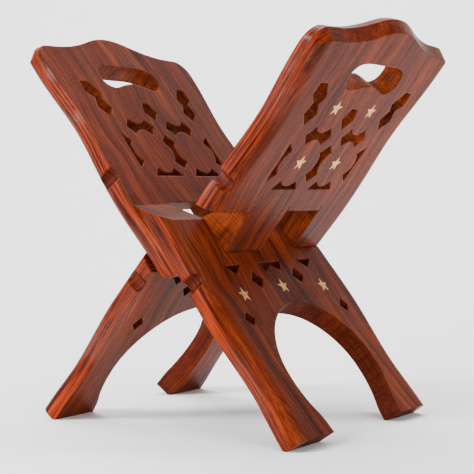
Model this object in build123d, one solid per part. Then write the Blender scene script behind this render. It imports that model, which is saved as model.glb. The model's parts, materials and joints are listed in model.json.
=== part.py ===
from build123d import *
import math
import os

# Folding book stand sawn from one plank: two leaves that cross and turn on their own knuckles.
# Stand frame: hinge axis along Y, +Z up, origin on the floor below the hinge.
# Leaf frame: X runs across the plank, Y runs along the board from the hinge axis toward the top,
# Z is the plank's thickness. The board above the hinge is below Z = 0 and the legs are above it.

# plank
PLANK_WIDTH = 150.0
BOARD_THICKNESS = 13.0
SAW_KERF = 1.4
HALF_KERF = SAW_KERF / 2
FACE = BOARD_THICKNESS + HALF_KERF
HALF_WIDTH = PLANK_WIDTH / 2

# how the leaves stand
LEAN = 38.0
CREST = 169.5
FOOT = 133.2

# knuckles: four across the plank, taken by the two leaves in turn
KNUCKLES = 4
KNUCKLE_PITCH = PLANK_WIDTH / KNUCKLES
SIDE_GAP = 0.5
SLOPE_SEAM = 35.0
SLOPE_FACE = 13.5
SLOT_SEAM = 36.5
SLOT_FACE = 40.5
STOP_GAP = 0.4
OVERCUT_LENGTH = 4.0
OVERCUT_WIDTH = 0.9
OVERCUT_DEPTH = 5.0

# outline above the hinge
CREST_RISE = 24.0
CREST_FALL = 25.0
CREST_RIDGE_IN = 5.0
FOOT_BEVEL = 4.0
CORNER = (67.0, 157.0)
CORNER_SIDE = (74.6, 145.0)
DIP = (50.0, 158.0)
SHOULDER = (26.0, 163.2)
WAIST = (70.0, 100.0)
BLOCK_HALF = 74.0
BLOCK_WAIST = 72.0
BLOCK_SHOULDER = 30.0
TOP_NOTCH_AT = 58.0
LEG_NOTCH_AT = 25.0
NOTCH_DEPTH = 4.3
NOTCH_RADIUS = 4.8

# outline of the legs
HIP = (74.5, 58.0)
ANKLE = (71.5, 100.0)
FOOT_INNER = 39.5
FOOT_OUTER = 74.6
ARCH_APEX = 48.8
ARCH_SHOULDER = (18.0, 53.4)
ARCH_HAUNCH = (37.5, 67.6)
ARCH_WIDEST = (47.8, 92.0)
ARCH_KNEE = (44.2, 116.0)

# worked edges
LONG_EDGE_ROUND = 7.0
SOLE_FLAT = 0.9

# how far the cutting shapes run past the wood
RUN_OUT = 6.0
BEYOND = FACE + RUN_OUT
WIDE = HALF_WIDTH + RUN_OUT

# finger hole
HOLE_HALF = 28.8
HOLE_TOP = 145.7
HOLE_END = 135.6
HOLE_LOBE = (22.8, 128.0)
HOLE_MIDDLE = 131.8

# openwork above the hinge: medallions on a square grid with hourglass holes between them
CELL = 38.6
LOWER_ROW = 76.2
UPPER_ROW = LOWER_ROW + CELL
CELL_SIDE = 19.9
HOUR_HALF = 13.5
HOUR_LOBE = 6.6
HOUR_WAIST = 2.4
LOBE_AT = 7.9
DROP_TOP = 115.6
DROP_SIDE = 108.0
DROP_BOTTOM = 101.0
DROP_TOP_HALF = 3.1
SIDE_LINE = 43.6
SLOT_OUTER = [(53.0, 130.0), (53.2, 121.6), (47.4, 117.2), (49.6, 109.4), (42.6, 102.4)]
SLOT_INNER = [(36.6, 109.8), (41.4, 116.4), (38.4, 121.4), (45.6, 130.4)]

# openwork of the legs
LEG_TOP_LINE = 19.8
LEG_TOP_POINT = 26.4
LEG_WEDGE_HALF = 13.2
LEG_WEDGE_TIP = 7.8
LEG_WEDGE_NOTCH = 22.4
LEG_SIDE_NEAR = 30.5
LEG_SIDE_FAR = 47.5
LEG_DIAMOND = (22.4, 31.2)
LEG_DIAMOND_HALF = 6.0
KNEE_DIAMOND = (52.5, 56.2)
KNEE_DIAMOND_HALF = 5.0

# brass stars
STAR_POINTS = 5
STAR_RADIUS = 5.2
STAR_WAIST = 0.42
STAR_DEPTH = 1.5
STAR_GAP = 0.15
LEG_STAR_SIDE = (43.6, 40.2)
LEG_STAR_MIDDLE = (0.0, 37.6)

# angles and heights that follow from the sizes above
FOLD = 2 * LEAN
INNER_FOOT = FOOT - BOARD_THICKNESS * math.tan(math.radians(FOOT_BEVEL))
INNER_EDGE = INNER_FOOT * math.cos(math.radians(LEAN)) - HALF_KERF * math.sin(math.radians(LEAN))
RISE = INNER_EDGE - SOLE_FLAT


def mirrored(points):
    """The same points on the other side of the board's centre line, in reverse order."""
    return [(-x, y) for x, y in reversed(points)]


def plate(outline, low, high):
    """A flat outline given thickness from low to high."""
    return extrude(Pos(0, 0, low) * outline, high - low)


def mirrored_half(lines):
    """A closed outline from the lines of its right half, which start and end on the centre line."""
    half = make_face(Curve() + lines)
    return half + mirror(half, about=Plane.YZ)


def long_bar(side, top, bottom, face, inner):
    """A board with wavy side edges, rounded on its outer face, and ends still to be sawn."""
    edge = Spline(side, tangents=[(0, -1), (0, -1)])
    rest = Polyline(side[-1], (side[-1][0], bottom), (0, bottom), (0, top), (side[0][0], top), side[0])
    bar = plate(mirrored_half([edge, rest]), min(face, inner), max(face, inner))
    on_face = bar.edges().filter_by_position(Axis.Z, face, face)
    long_edges = [line for line in on_face if abs((line % 0.5).Y) > abs((line % 0.5).X)]
    return fillet(long_edges, LONG_EDGE_ROUND)


def slanted_plate(outline, start, end, bevel):
    """An outline run through the thickness from start to end while it moves up the board at a slant."""
    toward = Vector(0, math.tan(math.radians(bevel)), math.copysign(1, end - start))
    amount = abs(end - start) * toward.length
    return extrude(Pos(0, 0, start) * outline, amount, dir=toward)


def crest_prism():
    """The crest runs up to a soft ridge inside its thickness and falls again to the outer face."""
    lift = CREST_RIDGE_IN * (math.tan(math.radians(CREST_RISE)) + math.tan(math.radians(CREST_FALL)))
    rising = slanted_plate(crest_outline(), -HALF_KERF, -FACE, CREST_RISE)
    falling = slanted_plate(Pos(0, lift) * crest_outline(), -HALF_KERF, -FACE, -CREST_FALL)
    return rising & falling


def crest_outline():
    """Everything below the wavy crest and its round shoulders."""
    crest = Spline([(0, CREST), SHOULDER, DIP, CORNER], tangents=[(1, 0), (1, -0.12)])
    corner = Spline([crest @ 1, CORNER_SIDE], tangents=[(1, -0.5), (0, -1)])
    below = -2 * FACE
    rest = Polyline(CORNER_SIDE, (WIDE, CORNER_SIDE[1] - RUN_OUT), (WIDE, below), (0, below), (0, CREST))
    return mirrored_half([crest, corner, rest])


def sole_outline():
    """Everything above the line on which the feet are sawn off."""
    return cut_outline([(WIDE, -FOOT), (WIDE, CREST), (-WIDE, CREST), (-WIDE, -FOOT)])


def arch_outline():
    """Pointed arch between the two legs."""
    below = FOOT + RUN_OUT
    points = [(0, -ARCH_APEX)]
    points += [(x, -y) for x, y in (ARCH_SHOULDER, ARCH_HAUNCH, ARCH_WIDEST, ARCH_KNEE)]
    points.append((FOOT_INNER, -FOOT))
    edge = Spline(points, tangents=[(1, -0.12), (-0.1, -1)])
    rest = Polyline(points[-1], (FOOT_INNER, -below), (0, -below), (0, -ARCH_APEX))
    return mirrored_half([edge, rest])


def finger_hole_outline():
    """Lip-shaped hand hole: domed above, drooping at both ends and raised in the middle below."""
    dome = Spline([(0, HOLE_TOP), (HOLE_HALF, HOLE_END)], tangents=[(1, 0), (-0.05, -1)])
    lip = Spline([(HOLE_HALF, HOLE_END), HOLE_LOBE, (0, HOLE_MIDDLE)], tangents=[(-0.05, -1), (-1, 0.12)])
    return mirrored_half([dome, lip, Line((0, HOLE_MIDDLE), (0, HOLE_TOP))])


def cut_outline(points):
    """A closed straight-sided hole."""
    return make_face(Polyline(points, close=True))


def hourglass(x, y, turn=0.0, half=False):
    """Two pointed lobes joined by a scalloped waist; the half one is flat along its own long line."""
    tip, far_tip = (HOUR_HALF, 0), (-HOUR_HALF, 0)
    above = [(LOBE_AT, HOUR_LOBE), (0, HOUR_WAIST), (-LOBE_AT, HOUR_LOBE)]
    lines = [Line(tip, above[0]), ThreePointArc(*above), Line(above[2], far_tip)]
    if half:
        lines.append(Line(far_tip, tip))
    else:
        below = [(-LOBE_AT, -HOUR_LOBE), (0, -HOUR_WAIST), (LOBE_AT, -HOUR_LOBE)]
        lines += [Line(far_tip, below[0]), ThreePointArc(*below), Line(below[2], tip)]
    return Pos(x, y) * Rot(0, 0, turn) * make_face(Curve() + lines)


def drop_outline():
    """Single lozenge with a flat head, at the head of the pattern."""
    right = [(DROP_TOP_HALF, DROP_TOP), (HOUR_LOBE, DROP_SIDE), (0, DROP_BOTTOM)]
    return cut_outline(right + mirrored(right)[1:])


def side_slot(sign):
    """Tall two-lobed slot beside an upper medallion."""
    return cut_outline([(sign * x, y) for x, y in SLOT_OUTER + SLOT_INNER])


def diamond(x, y, half):
    """Four-pointed hole."""
    return cut_outline([(x + half, y), (x, y + half), (x - half, y), (x, y - half)])


def wedge(near, far):
    """Triangle of the leg pattern, flat side toward the hinge."""
    return cut_outline([(near, -LEG_TOP_LINE), (far, -LEG_TOP_LINE), ((near + far) / 2, -LEG_TOP_POINT)])


def double_wedge():
    """Wide middle hole of the leg pattern: two points with a notch between them."""
    right = [(LEG_WEDGE_HALF, -LEG_TOP_LINE), (LEG_WEDGE_TIP, -LEG_TOP_POINT), (0, -LEG_WEDGE_NOTCH)]
    return cut_outline(right + mirrored(right)[1:])


def upper_holes():
    """All holes sawn in the board above the hinge."""
    holes = [finger_hole_outline(), drop_outline(), hourglass(0, LOWER_ROW, 90)]
    for sign in (1, -1):
        holes.append(side_slot(sign))
        holes.append(hourglass(sign * CELL_SIDE, LOWER_ROW + CELL / 2))
        holes.append(hourglass(sign * CELL_SIDE, LOWER_ROW - CELL / 2, 0, True))
        holes.append(hourglass(sign * SIDE_LINE, LOWER_ROW, sign * 90, True))
    return holes


def leg_holes():
    """All holes sawn in the board below the hinge, with the arch."""
    holes = [arch_outline(), double_wedge()]
    for sign in (1, -1):
        holes.append(wedge(sign * LEG_SIDE_NEAR, sign * LEG_SIDE_FAR))
        holes.append(diamond(sign * LEG_DIAMOND[0], -LEG_DIAMOND[1], LEG_DIAMOND_HALF))
        holes.append(diamond(sign * KNEE_DIAMOND[0], -KNEE_DIAMOND[1], KNEE_DIAMOND_HALF))
    return holes


def edge_notches(y):
    """Rasped grooves across both side edges, where the hinge block meets the boards."""
    offset = BLOCK_HALF + NOTCH_RADIUS - NOTCH_DEPTH
    groove = Cylinder(NOTCH_RADIUS, 4 * FACE)
    return [Pos(offset, y, 0) * groove, Pos(-offset, y, 0) * groove]


def upper_board():
    """Board above the hinge with all its holes."""
    side = [CORNER_SIDE, WAIST, (BLOCK_HALF, TOP_NOTCH_AT), (BLOCK_HALF, BLOCK_SHOULDER), (BLOCK_WAIST, 0)]
    bar = long_bar(side, CREST + RUN_OUT, -FACE, -FACE, -HALF_KERF)
    board = bar & crest_prism()
    holes = [plate(hole, -2 * FACE, 2 * FACE) for hole in upper_holes()]
    return board - holes - edge_notches(TOP_NOTCH_AT)


def leg_board():
    """Board below the hinge with its arch, holes and two feet."""
    side = [(BLOCK_WAIST, 0), (HIP[0], -HIP[1]), (ANKLE[0], -ANKLE[1]), (FOOT_OUTER, -FOOT)]
    bar = long_bar(side, SLOPE_SEAM + SAW_KERF, -FOOT - RUN_OUT, FACE, HALF_KERF)
    board = bar & slanted_plate(sole_outline(), FACE, HALF_KERF, FOOT_BEVEL)
    holes = [plate(hole, -2 * FACE, 2 * FACE) for hole in leg_holes()]
    return board - holes - edge_notches(-LEG_NOTCH_AT)


def lane(index):
    """Near and far side of one knuckle's lane, counted from the near edge of the plank."""
    near = -HALF_WIDTH + index * KNUCKLE_PITCH
    return near, near + KNUCKLE_PITCH


def across_lane(points, near, far):
    """A profile drawn in the board's length and thickness, run across the plank."""
    profile = Plane.YZ * cut_outline(points)
    return Pos(near, 0, 0) * extrude(profile, far - near, dir=(1, 0, 0))


def own_lane_waste(index):
    """What is cut away round this leaf's own knuckle: the sloped shoulder and the round heel."""
    near, far = lane(index)
    above = SLOPE_SEAM + RUN_OUT
    shoulder = [(SLOPE_SEAM, -HALF_KERF), (SLOPE_FACE, FACE), (SLOPE_FACE, BEYOND)]
    shoulder += [(above, BEYOND), (above, -HALF_KERF)]
    heel = [(0, HALF_KERF), (-2 * FACE, HALF_KERF), (-2 * FACE, -BEYOND), (0, -BEYOND)]
    barrel = Pos((near + far) / 2, 0, 0) * Rot(0, 90, 0) * Cylinder(FACE, far - near + RUN_OUT)
    return [across_lane(shoulder, near, far), across_lane(heel, near, far) - barrel]


def stop_line(depth):
    """Height on the board of the stop face at a given depth: it lies flat on the other leaf when open."""
    turn = math.radians(FOLD)
    return -(FACE + STOP_GAP - depth * math.cos(turn)) / math.sin(turn)


def free_lane_waste(index):
    """What is cut away so that the other leaf's knuckle can turn in this lane."""
    near, far = lane(index)
    near -= SIDE_GAP / 2
    far += SIDE_GAP / 2
    slope = (SLOT_FACE - SLOT_SEAM) / BOARD_THICKNESS
    slot = [(SLOT_SEAM, HALF_KERF), (SLOT_SEAM, -HALF_KERF), (SLOT_FACE + slope * RUN_OUT, -BEYOND)]
    slot += [(-2 * FACE, -BEYOND), (-2 * FACE, HALF_KERF)]
    above = SLOPE_SEAM + RUN_OUT
    stop = [(stop_line(0), 0), (stop_line(BEYOND), BEYOND), (above, BEYOND), (above, 0)]
    return [across_lane(slot, near, far), across_lane(stop, near, far)]


def overcuts():
    """Short saw slits that run past the slot corners on the outer face."""
    slits = []
    for index in range(1, KNUCKLES):
        edge = lane(index)[0]
        tip = SLOT_FACE + OVERCUT_LENGTH
        points = [(SLOT_SEAM, -BEYOND), (tip, -BEYOND), (tip, -FACE), (SLOT_SEAM, OVERCUT_DEPTH - FACE)]
        slits.append(across_lane(points, edge - OVERCUT_WIDTH / 2, edge + OVERCUT_WIDTH / 2))
    return slits


def knuckle_web(index):
    """Wood left across the saw kerf, which joins board and legs through this leaf's own knuckle."""
    near, far = lane(index)
    near = max(near, -BLOCK_WAIST)
    web = [(SLOPE_SEAM, -HALF_KERF), (SLOPE_SEAM, HALF_KERF), (-FACE, HALF_KERF), (-FACE, -HALF_KERF)]
    return across_lane(web, near, far)


def leaf():
    """One leaf: board, knuckles and legs in one piece of wood, with seats for its stars."""
    own = range(0, KNUCKLES, 2)
    free = range(1, KNUCKLES, 2)
    body = upper_board() + leg_board()
    body = body + [knuckle_web(index) for index in own]
    waste = overcuts()
    for index in own:
        waste += own_lane_waste(index)
    for index in free:
        waste += free_lane_waste(index)
    seats = [star_solid(x, y, face, STAR_RADIUS + STAR_GAP) for _, x, y, face in star_places()]
    return body - waste - seats


def star_places():
    """Name, centre and outer face of every inlaid star on one leaf."""
    places = [("leg_star_middle", LEG_STAR_MIDDLE[0], -LEG_STAR_MIDDLE[1], FACE)]
    for sign in (-1, 1):
        places.append(("board_star_lower", sign * CELL_SIDE, LOWER_ROW, -FACE))
        places.append(("board_star_upper", sign * CELL_SIDE, UPPER_ROW, -FACE))
        places.append(("leg_star", sign * LEG_STAR_SIDE[0], -LEG_STAR_SIDE[1], FACE))
    return places


def star_solid(x, y, face, radius):
    """Five-pointed star let into the outer face, flush with it."""
    points = []
    for step in range(2 * STAR_POINTS):
        reach = radius if step % 2 == 0 else radius * STAR_WAIST
        angle = math.radians(90 + step * 180 / STAR_POINTS)
        points.append((x + reach * math.cos(angle), y + reach * math.sin(angle)))
    inward = face - math.copysign(STAR_DEPTH, face)
    return plate(cut_outline(points), min(face, inward), max(face, inward))


def leaf_plane(turned):
    """Where a leaf stands: leaning on the hinge axis, the second one turned about the vertical."""
    lean = math.radians(LEAN)
    along = (-math.sin(lean), 0, math.cos(lean))
    outward = (math.cos(lean), 0, math.sin(lean))
    plane = Plane(origin=(0, 0, RISE), x_dir=(0, 1, 0), z_dir=outward)
    assert (plane.y_dir - Vector(*along)).length < 1e-6
    return Rot(0, 0, 180) * plane.location if turned else plane.location


def export_part(shape, name):
    """Writes one named piece."""
    shape.label = name
    export_step(shape, f"parts/{name}.step")


def main():
    os.makedirs("parts", exist_ok=True)
    wood = leaf()
    below_floor = Pos(0, 0, -FOOT / 2) * Box(4 * FOOT, 4 * HALF_WIDTH, FOOT)
    for name, turned in (("left_leaf", False), ("right_leaf", True)):
        place = leaf_plane(turned)
        export_part(place * wood - below_floor, name)
        for star, x, y, face in star_places():
            side = "far" if x * (-1 if turned else 1) > 0 else "near"
            label = star if x == 0 else f"{star}_{side}"
            export_part(place * star_solid(x, y, face, STAR_RADIUS), f"{name}_{label}")


main()
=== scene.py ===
import json
import math
from types import SimpleNamespace

import bpy
from mathutils import Matrix, Vector

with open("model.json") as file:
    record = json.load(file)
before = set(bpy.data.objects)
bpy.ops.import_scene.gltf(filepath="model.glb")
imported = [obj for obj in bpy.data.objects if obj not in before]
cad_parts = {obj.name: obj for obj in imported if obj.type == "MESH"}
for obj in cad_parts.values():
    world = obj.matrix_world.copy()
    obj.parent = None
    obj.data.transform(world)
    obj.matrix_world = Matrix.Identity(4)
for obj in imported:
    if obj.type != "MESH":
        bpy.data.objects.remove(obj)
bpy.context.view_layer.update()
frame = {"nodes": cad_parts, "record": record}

# ---------------------------------------------------------------------------------------------------------
# The two leaves: rosewood, each sawn in one piece with its knuckles and legs, the grain along the board.
# Faces, long edges and crest are polished; the walls of the openwork, arch and knuckles are as the saw left
# them, brighter and duller. The knuckles' end grain carries painted light in the outer lanes and painted
# shade in the inner ones; the walls below the hinge and the grooves across the edges carry painted shade.
# Grain, rings and pores are solid, so they run through every cut.
# ---------------------------------------------------------------------------------------------------------

# folding flat turns one leaf through its own lean and the other's
knuckle_hinge = frame["record"]["behaviour"]["joints"][0]
HINGE_HEIGHT = knuckle_hinge["pos_m"][2]
LEAN = math.radians(knuckle_hinge["range_deg"][1] / 2)

# where each finish, painted light and painted shade lies: heights are from the hinge up the leaf, or down it
# for the painted shade on the walls; edges and the knuckles' lit and shaded lanes are from its middle line
EDGE_FROM, EDGE_FULL = 0.0640, 0.0685
CREST_FROM, CREST_FULL = 0.149, 0.152
SHADE_FROM, SHADE_FULL = -0.010, 0.040
KNUCKLE_FOOT_FROM, KNUCKLE_FOOT_FULL = 0.0330, 0.0350
KNUCKLE_TOP_FULL, KNUCKLE_TOP_END = 0.0410, 0.0425
# the inner lanes, where the knuckles' end grain carries painted shade
SHADED_LANE_FULL, SHADED_LANE_END = 0.030, 0.045
TOP_GROOVE = 0.058
LEG_GROOVE = 0.025
GROOVE_CORE, GROOVE_REACH = 0.0030, 0.0058
ARRIS_RADIUS = 0.0011
GRAIN_RELIEF = 0.0004

# the growth rings' heart lies off the plank
HEART_DEPTH = 0.040
HEART_ACROSS = 0.030
RINGS_PER_METRE = 420.0

# the fibres' slow drift: bends per metre in depth, across and along, how far it carries them, and the
# grain's slant to the board's middle line
DRIFT_BENDS = (14.0, 16.0, 11.0)
DRIFT_REACH = 0.030
GRAIN_SLANT = 0.045

# the blade's tracks per metre in depth, across and along: fine relief, and coarser dark lines
TRACK_RELIEF = (90.0, 1300.0, 1700.0)
TRACK_LINES = (35.0, 620.0, 760.0)

# lines on the long edges: their width in depth, their size across, their length
EDGE_LINE = (0.0011, 0.014, 0.045)

HEARTWOOD_DARK = (0.0220, 0.0030, 0.0010, 1.0)
HEARTWOOD_RED = (0.1050, 0.0135, 0.0030, 1.0)
HEARTWOOD_ORANGE = (0.330, 0.052, 0.0078, 1.0)
VEIN_BROWN = (0.012, 0.0026, 0.0014, 1.0)
PORE_BROWN = (0.010, 0.0026, 0.0014, 1.0)
DUSTY_DARK = (0.022, 0.0070, 0.0036, 1.0)
DUSTY_PALE = (0.130, 0.042, 0.0200, 1.0)
SAWN_DARK = (0.030, 0.0036, 0.0010, 1.0)
SAWN_BRIGHT = (0.250, 0.040, 0.0056, 1.0)
SAW_BURN = (0.020, 0.0030, 0.0012, 1.0)
SHADED_DARK = (0.024, 0.0028, 0.0010, 1.0)
SHADED_RED = (0.105, 0.0120, 0.0028, 1.0)
EDGE_DARK = (0.022, 0.0024, 0.0008, 1.0)
EDGE_RED = (0.360, 0.038, 0.0045, 1.0)
# the knuckles' end grain: painted light in the outer lanes, painted shade in the inner ones
PAINTED_LIGHT_END_DARK = (0.480, 0.130, 0.0120, 1.0)
PAINTED_LIGHT_END_BRIGHT = (0.900, 0.420, 0.0500, 1.0)
PAINTED_SHADE_END_DARK = (0.060, 0.0090, 0.0018, 1.0)
PAINTED_SHADE_END_BRIGHT = (0.260, 0.060, 0.0080, 1.0)
# painted shade in the grooves across the edges
GROOVE_PAINTED_SHADE = (0.028, 0.0036, 0.0012, 1.0)
WORN_ARRIS = (0.300, 0.060, 0.0120, 1.0)


class Signal:
    """One shader output with arithmetic, so that a material reads as plain maths."""

    def __init__(self, tree, socket=None):
        self.tree = tree
        self.socket = socket

    def node(self, kind, settings=None, output=0, **values):
        """A node of any kind: its settings first, then its socket values and links, by name or i0, i1..."""
        made = self.tree.nodes.new(kind)
        for name, value in (settings or {}).items():
            setattr(made, name, value)
        for name, value in values.items():
            numbered = name[0] == "i" and name[1:].isdigit()
            key = int(name[1:]) if numbered else name.replace("_", " ")
            if isinstance(value, Signal):
                self.tree.links.new(value.socket, made.inputs[key])
            else:
                made.inputs[key].default_value = value
        return Signal(self.tree, made.outputs[output])

    def maths(self, operation, *values):
        inputs = {f"i{n}": value for n, value in enumerate(values)}
        return self.node("ShaderNodeMath", {"operation": operation}, **inputs)

    def __add__(self, other):
        return self.maths("ADD", self, other)

    def __radd__(self, other):
        return self.maths("ADD", other, self)

    def __sub__(self, other):
        return self.maths("SUBTRACT", self, other)

    def __rsub__(self, other):
        return self.maths("SUBTRACT", other, self)

    def __mul__(self, other):
        return self.maths("MULTIPLY", self, other)

    def __rmul__(self, other):
        return self.maths("MULTIPLY", other, self)

    def __truediv__(self, other):
        return self.maths("DIVIDE", self, other)

    def __rtruediv__(self, other):
        return self.maths("DIVIDE", other, self)

    def __pow__(self, other):
        return self.maths("POWER", self, other)

    def __rpow__(self, other):
        return self.maths("POWER", other, self)

    def __abs__(self):
        return self.maths("ABSOLUTE", self)

    def parts(self):
        """The three parts of a vector."""
        return [self.node("ShaderNodeSeparateXYZ", Vector=self, output=n) for n in range(3)]

    def dot(self, other):
        return self.node("ShaderNodeVectorMath", {"operation": "DOT_PRODUCT"}, output=1, i0=self, i1=other)

    def ramp(self, low, high):
        """Smooth step from 0 to 1 as the signal goes from low to high."""
        return self.node(
            "ShaderNodeMapRange", {"interpolation_type": "SMOOTHSTEP"},
            Value=self, From_Min=low, From_Max=high,
        )

    def mix(self, first, second):
        """Colour that goes from first to second as the signal goes from 0 to 1."""
        return self.node("ShaderNodeMix", {"data_type": "RGBA"}, output=2, i0=self, i6=first, i7=second)

    def into(self, shader, name):
        """Drives one input of a shader."""
        self.tree.links.new(self.socket, shader.inputs[name])


def new_material(name):
    """An empty material: its maths tool and its one shader."""
    material = bpy.data.materials.new(name)
    material.use_nodes = True
    tree = material.node_tree
    tree.nodes.clear()
    out = tree.nodes.new("ShaderNodeOutputMaterial")
    shader = tree.nodes.new("ShaderNodeBsdfPrincipled")
    tree.links.new(shader.outputs[0], out.inputs[0])
    return material, Signal(tree), shader


def leaf_place(tool, lean):
    """Where a point is in its leaf, in metres, as if the leaf stood upright: depth, across and along."""
    place = tool.node("ShaderNodeTexCoord", output=3)
    upright = tool.node(
        "ShaderNodeVectorRotate", {"rotation_type": "Y_AXIS"},
        Vector=place, Center=(0.0, 0.0, HINGE_HEIGHT), Angle=lean,
    )
    return upright.parts()


def leaf_facing(tool, lean):
    """How squarely the surface looks out of the board's face, and how squarely along the board."""
    normal = tool.node("ShaderNodeTexCoord", output=1)
    facing = tool.node("ShaderNodeVectorRotate", {"rotation_type": "Y_AXIS"}, Vector=normal, Angle=lean)
    outward, _, endward = facing.parts()
    return abs(outward), abs(endward)


def leaf_grain(tool, depth, across, along, seed):
    """The marks that run through one leaf, and the tone from dark to light that they make together."""
    slow = tool.node(
        "ShaderNodeCombineXYZ",
        X=depth * DRIFT_BENDS[0], Y=across * DRIFT_BENDS[1], Z=along * DRIFT_BENDS[2] + seed,
    )
    drift = tool.node("ShaderNodeTexNoise", Vector=slow, Scale=1.0, Detail=2.0) - 0.5
    bent = across + drift * DRIFT_REACH + (along - HINGE_HEIGHT) * GRAIN_SLANT

    def marks(width, length, shift, detail=2.0, roughness=0.5):
        """Noise drawn out along the grain, its marks width by length in metres."""
        spot = tool.node(
            "ShaderNodeCombineXYZ", X=depth / width, Y=bent / width, Z=along / length + (shift + seed)
        )
        return tool.node("ShaderNodeTexNoise", Vector=spot, Scale=1.0, Detail=detail, Roughness=roughness)

    # growth rings round the heart, swayed by the fibres' drift
    sway = marks(width=0.060, length=0.16, shift=3.0) - 0.5
    wander = marks(width=0.012, length=0.09, shift=9.0, detail=3.0) - 0.5
    from_heart_depth = depth + HEART_DEPTH
    from_heart_across = bent - HEART_ACROSS + sway * 0.060
    from_heart = (from_heart_depth * from_heart_depth + from_heart_across * from_heart_across) ** 0.5
    rings = (from_heart + wander * 0.0060) * RINGS_PER_METRE + marks(width=0.02, length=0.30, shift=5.0) * 6.0
    ring = rings.maths("FRACT", rings)
    clear = marks(width=0.02, length=0.12, shift=12.0).ramp(0.35, 0.65)

    grain = SimpleNamespace()
    grain.late_wood = ring.ramp(0.15, 0.80) * (1.0 - ring.ramp(0.86, 1.0)) * clear
    grain.fibre = marks(width=0.00050, length=0.026, shift=1.0, detail=5.0, roughness=0.65)
    grain.streak = marks(width=0.0016, length=0.085, shift=2.0, detail=5.0, roughness=0.62)
    grain.band = marks(width=0.0070, length=0.190, shift=7.0, detail=4.0)
    grain.cloud = marks(width=0.0300, length=0.060, shift=4.0, detail=3.0)
    grain.pore = marks(width=0.00034, length=0.0060, shift=6.0, detail=1.0).ramp(0.61, 0.70)
    grain.dusty = marks(width=0.045, length=0.080, shift=18.0).ramp(0.46, 0.66)
    veins = grain.late_wood * -0.10 + grain.streak * 0.60 + grain.fibre * 0.45
    grain.tone = veins + grain.band * 0.50 + grain.cloud * 0.30 - 0.43
    return grain


def polished_face(grain):
    """Deep brown veins through red brown to orange, with dark pores and a duller, dusty bloom in patches."""
    body = grain.tone.ramp(0.24, 0.52).mix(HEARTWOOD_DARK, HEARTWOOD_RED)
    body = grain.tone.ramp(0.46, 0.80).mix(body, HEARTWOOD_ORANGE)
    vein = grain.streak.ramp(0.54, 0.68) * grain.band.ramp(0.50, 0.66)
    body = (vein * 0.65).mix(body, VEIN_BROWN)
    body = (grain.pore * 0.55).mix(body, PORE_BROWN)
    bloom = grain.tone.ramp(0.25, 0.75).mix(DUSTY_DARK, DUSTY_PALE)
    return (grain.dusty * 0.32).mix(body, bloom)


def long_edge(tool, grain, depth, across, along, seed):
    """The plank's own long edges: redder, with lines that run along the edge."""
    spot = tool.node(
        "ShaderNodeCombineXYZ",
        X=depth / EDGE_LINE[0], Y=across / EDGE_LINE[1], Z=along / EDGE_LINE[2] + (15.0 + seed),
    )
    line = tool.node("ShaderNodeTexNoise", Vector=spot, Scale=1.0, Detail=5.0, Roughness=0.6)
    return (grain.tone * 0.22 + line * 0.95).ramp(0.44, 0.84).mix(EDGE_DARK, EDGE_RED)


def knuckle_end(grain, across):
    """The end grain at the knuckles: painted light makes it bright in the outer lanes, painted shade darkens
    it in the inner ones.
    """
    lit_end = grain.tone.ramp(0.05, 0.60).mix(PAINTED_LIGHT_END_DARK, PAINTED_LIGHT_END_BRIGHT)
    shaded_end = grain.tone.ramp(0.15, 0.75).mix(PAINTED_SHADE_END_DARK, PAINTED_SHADE_END_BRIGHT)
    shaded_lane = 1.0 - abs(across).ramp(SHADED_LANE_FULL, SHADED_LANE_END)
    return shaded_lane.mix(lit_end, shaded_end)


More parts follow.
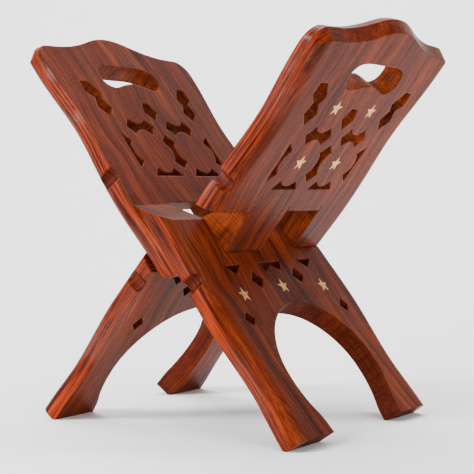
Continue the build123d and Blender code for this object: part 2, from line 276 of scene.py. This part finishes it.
def wood(name, lean, seed):
    material, tool, shader = new_material(name)
    depth, across, along = leaf_place(tool, lean)
    face_on, end_on = leaf_facing(tool, lean)
    grain = leaf_grain(tool, depth, across, along, seed)

    def saw_tracks(per_metre, detail):
        """Noise drawn out through the thickness of the plank, the way the blade went."""
        spot = tool.node(
            "ShaderNodeCombineXYZ", X=depth * per_metre[0], Y=across * per_metre[1], Z=along * per_metre[2]
        )
        return tool.node("ShaderNodeTexNoise", Vector=spot, Scale=1.0, Detail=detail)

    # which finish the surface has at each place
    height_on_board = along - HINGE_HEIGHT
    crest = height_on_board.ramp(CREST_FROM, CREST_FULL)
    outer_edge = abs(across).ramp(EDGE_FROM, EDGE_FULL)
    wall = 1.0 - face_on.ramp(0.30, 0.70)
    sawn = wall * (1.0 - outer_edge) * (1.0 - crest)
    shade = (HINGE_HEIGHT - along).ramp(SHADE_FROM, SHADE_FULL)
    above_foot = height_on_board.ramp(KNUCKLE_FOOT_FROM, KNUCKLE_FOOT_FULL)
    below_top = 1.0 - height_on_board.ramp(KNUCKLE_TOP_FULL, KNUCKLE_TOP_END)
    knuckle = above_foot * below_top * end_on.ramp(0.80, 0.90) * (1.0 - outer_edge)
    top_groove = 1.0 - abs(height_on_board - TOP_GROOVE).ramp(GROOVE_CORE, GROOVE_REACH)
    leg_groove = 1.0 - abs(height_on_board + LEG_GROOVE).ramp(GROOVE_CORE, GROOVE_REACH)

    # sawn walls are brighter and drier than the polished faces; below the hinge they are darkened with
    # painted shade
    body = polished_face(grain)
    fresh = grain.tone.ramp(0.20, 0.78).mix(SAWN_DARK, SAWN_BRIGHT)
    body = (sawn * 0.80).mix(body, fresh)
    edge = long_edge(tool, grain, depth, across, along, seed)
    body = (outer_edge * wall * 0.90).mix(body, edge)
    # painted shade on the sawn walls below the hinge
    shaded = grain.tone.ramp(0.2, 0.8).mix(SHADED_DARK, SHADED_RED)
    body = (shade * sawn * 0.85).mix(body, shaded)
    burnt_line = saw_tracks(TRACK_LINES, detail=1.0).ramp(0.50, 0.62)
    body = (burnt_line * sawn * 0.45).mix(body, SAW_BURN)
    # painted light and painted shade on the knuckles' end grain: lit in the outer lanes, shaded in the inner
    # ones
    body = (knuckle * 0.85).mix(body, knuckle_end(grain, across))

    # painted shade: the rasped grooves across the edges are darkened
    body = ((top_groove + leg_groove) * outer_edge * wall * 0.60).mix(body, GROOVE_PAINTED_SHADE)

    # arrises rubbed by hands: a slightly paler line where the softened normal leaves the flat one
    soft = tool.node("ShaderNodeBevel", {"samples": 8}, Radius=ARRIS_RADIUS)
    flat = tool.node("ShaderNodeNewGeometry", output=1)
    worn = (1.0 - soft.dot(flat)).ramp(0.01, 0.22) * grain.fibre.ramp(0.30, 0.60)
    (worn * 0.35).mix(body, WORN_ARRIS).into(shader, "Base Color")

    # polish: duller on the sawn walls, with a patchy glossy coat along the long edges
    roughness = 0.22 + grain.fibre * 0.14 + grain.cloud * 0.10 + grain.pore * 0.20 + sawn * 0.22
    roughness.into(shader, "Roughness")
    shader.inputs["Specular IOR Level"].default_value = 0.05
    (outer_edge * grain.cloud.ramp(0.44, 0.66) * 0.26).into(shader, "Coat Weight")
    shader.inputs["Coat Roughness"].default_value = 0.16

    # relief: open pores and proud fibres everywhere, the blade's tracks on the sawn walls
    wood_relief = grain.fibre * 0.50 - grain.late_wood * 0.20 - grain.pore * 1.0 + grain.streak * 0.35
    relief = wood_relief + saw_tracks(TRACK_RELIEF, detail=2.0) * sawn * 1.8
    bump = tool.node("ShaderNodeBump", Strength=0.40, Distance=GRAIN_RELIEF, Height=relief, Normal=soft)
    bump.into(shader, "Normal")
    return material


for leaf, lean, seed in (("left_leaf", LEAN, 0.0), ("right_leaf", -LEAN, 21.0)):
    frame["nodes"][leaf].material_slots[0].material = wood(leaf + "_wood", lean, seed)


# ---------------------------------------------------------------------------------------------------------
# The stars: sheet brass sawn to five points, hammered into their seats and rubbed down flush with the wood.
# Fine scratches from the rubbing down, a little tarnish in patches.
# ---------------------------------------------------------------------------------------------------------

SCRATCHES_PER_METRE = (900.0, 5200.0, 900.0)
PATCHES_PER_METRE = 420.0
BRASS_BRIGHT = (0.86, 0.50, 0.17, 1.0)
BRASS_TARNISHED = (0.56, 0.30, 0.09, 1.0)
SCRATCH_DEPTH = 0.0001


def inlaid_brass():
    material, tool, shader = new_material("inlaid_brass")
    place = tool.node("ShaderNodeTexCoord", output=3)
    strokes = tool.node("ShaderNodeMapping", Vector=place, Scale=SCRATCHES_PER_METRE)
    scratch = tool.node("ShaderNodeTexNoise", Vector=strokes, Scale=1.0, Detail=3.0)
    patch = tool.node("ShaderNodeTexNoise", Vector=place, Scale=PATCHES_PER_METRE, Detail=3.0)
    patch.ramp(0.35, 0.7).mix(BRASS_BRIGHT, BRASS_TARNISHED).into(shader, "Base Color")
    (0.30 + scratch * 0.22 + patch * 0.10).into(shader, "Roughness")
    bump = tool.node("ShaderNodeBump", Strength=0.25, Distance=SCRATCH_DEPTH, Height=scratch)
    bump.into(shader, "Normal")
    shader.inputs["Metallic"].default_value = 0.9
    return material


star_metal = inlaid_brass()
for name, piece in frame["nodes"].items():
    if "star" in name:
        piece.material_slots[0].material = star_metal


# ---------------------------------------------------------------------------------------------------------
# Studio floor: one pale paper sheet, matt, lying flat under the stand.
# It turns up in a wide curve into a backdrop behind it, square to the camera.
# ---------------------------------------------------------------------------------------------------------

CAMERA_AZIMUTH = math.radians(34.47)
SHEET_FRONT = -6.0
SHEET_BEND = 1.6
SHEET_TOP = 7.0
SHEET_HALF_WIDTH = 7.0
BEND_STEPS = 12
PAPER_SHADED = (0.93, 0.93, 0.93, 1.0)
PAPER_BRIGHT = (0.95, 0.95, 0.95, 1.0)


def studio_paper():
    material, tool, shader = new_material("studio_paper")
    pulp = tool.node("ShaderNodeTexNoise", Scale=180.0, Detail=2.0)
    pulp.ramp(0.3, 0.7).mix(PAPER_SHADED, PAPER_BRIGHT).into(shader, "Base Color")
    shader.inputs["Roughness"].default_value = 0.95
    shader.inputs["Specular IOR Level"].default_value = 0.1
    return material


def sheet_profile():
    """The sheet seen from its side: flat floor, quarter circle, upright wall."""
    profile = [(SHEET_FRONT, 0.0)]
    for step in range(BEND_STEPS + 1):
        angle = math.radians(90.0 * step / BEND_STEPS)
        profile.append((SHEET_BEND + SHEET_BEND * math.sin(angle), SHEET_BEND - SHEET_BEND * math.cos(angle)))
    profile.append((2 * SHEET_BEND, SHEET_TOP))
    return profile


def studio_sweep():
    """Floor and wall in one sheet, joined by the curve."""
    profile = sheet_profile()
    corners = [(x, y, z) for y, z in profile for x in (-SHEET_HALF_WIDTH, SHEET_HALF_WIDTH)]
    faces = [(2 * n, 2 * n + 1, 2 * n + 3, 2 * n + 2) for n in range(len(profile) - 1)]
    mesh = bpy.data.meshes.new("studio_sweep")
    mesh.from_pydata(corners, [], faces)
    for face in mesh.polygons:
        face.use_smooth = True
    mesh.materials.append(studio_paper())
    sheet = bpy.data.objects.new("studio_sweep", mesh)
    sheet.rotation_euler = (0.0, 0.0, CAMERA_AZIMUTH)
    bpy.context.scene.collection.objects.link(sheet)
    return sheet


studio_sweep()


# ---------------------------------------------------------------------------------------------------------
# Studio light: a broad soft key and a narrow strip from the camera's left, a fill from its right, a large
# soft box overhead, and one that only lights the backdrop.
# ---------------------------------------------------------------------------------------------------------

WORLD_STRENGTH = 0.50


def soft_box(name, spot, target, size, watts):
    data = bpy.data.lights.new(name, "AREA")
    data.shape = "RECTANGLE"
    data.size, data.size_y = size
    data.energy = watts
    lamp = bpy.data.objects.new(name, data)
    lamp.location = spot
    lamp.rotation_euler = (Vector(target) - Vector(spot)).to_track_quat("-Z", "Y").to_euler()
    bpy.context.scene.collection.objects.link(lamp)


soft_box("key", spot=(-0.70, -1.20, 1.10), target=(0.0, 0.0, 0.11), size=(0.6, 0.6), watts=38.0)
soft_box("strip", spot=(-0.85, -1.15, 0.42), target=(0.0, 0.0, 0.12), size=(0.10, 0.6), watts=12.0)
soft_box("fill", spot=(1.50, -0.60, 0.60), target=(0.0, 0.0, 0.11), size=(0.8, 1.0), watts=15.0)
soft_box("overhead", spot=(0.0, 0.10, 1.70), target=(0.0, 0.0, 0.10), size=(1.4, 1.4), watts=17.0)
soft_box("backdrop_light", spot=(-0.8, 1.1, 2.6), target=(-1.6, 2.4, 0.4), size=(2.4, 1.2), watts=150.0)

world = bpy.data.worlds.new("studio_world")
bpy.context.scene.world = world
world.use_nodes = True
sky = world.node_tree.nodes["Background"]
sky.inputs["Color"].default_value = (1.0, 1.0, 1.0, 1.0)
sky.inputs["Strength"].default_value = WORLD_STRENGTH


# ---------------------------------------------------------------------------------------------------------
# Camera: a long lens, a little above the hinge and well back from the stand.
# It looks almost level across the crossed leaves, from the near end and the right leaf's side.
# ---------------------------------------------------------------------------------------------------------

CAMERA_TILT = math.radians(2.37)
CAMERA_ROLL = math.radians(0.19)
CAMERA_SPOT = (0.4548, -0.6622, 0.1433)
LENS_MM = 99.87
SENSOR_MM = 36.0
NEAREST_SEEN = 0.01

camera_data = bpy.data.cameras.new("camera")
camera_data.lens = LENS_MM
camera_data.sensor_width = SENSOR_MM
camera_data.clip_start = NEAREST_SEEN
camera = bpy.data.objects.new("camera", camera_data)
turn = Matrix.Rotation(CAMERA_AZIMUTH, 4, "Z") @ Matrix.Rotation(math.radians(90.0) - CAMERA_TILT, 4, "X")
camera.matrix_world = Matrix.Translation(CAMERA_SPOT) @ turn @ Matrix.Rotation(CAMERA_ROLL, 4, "Z")
bpy.context.scene.collection.objects.link(camera)
bpy.context.scene.camera = camera
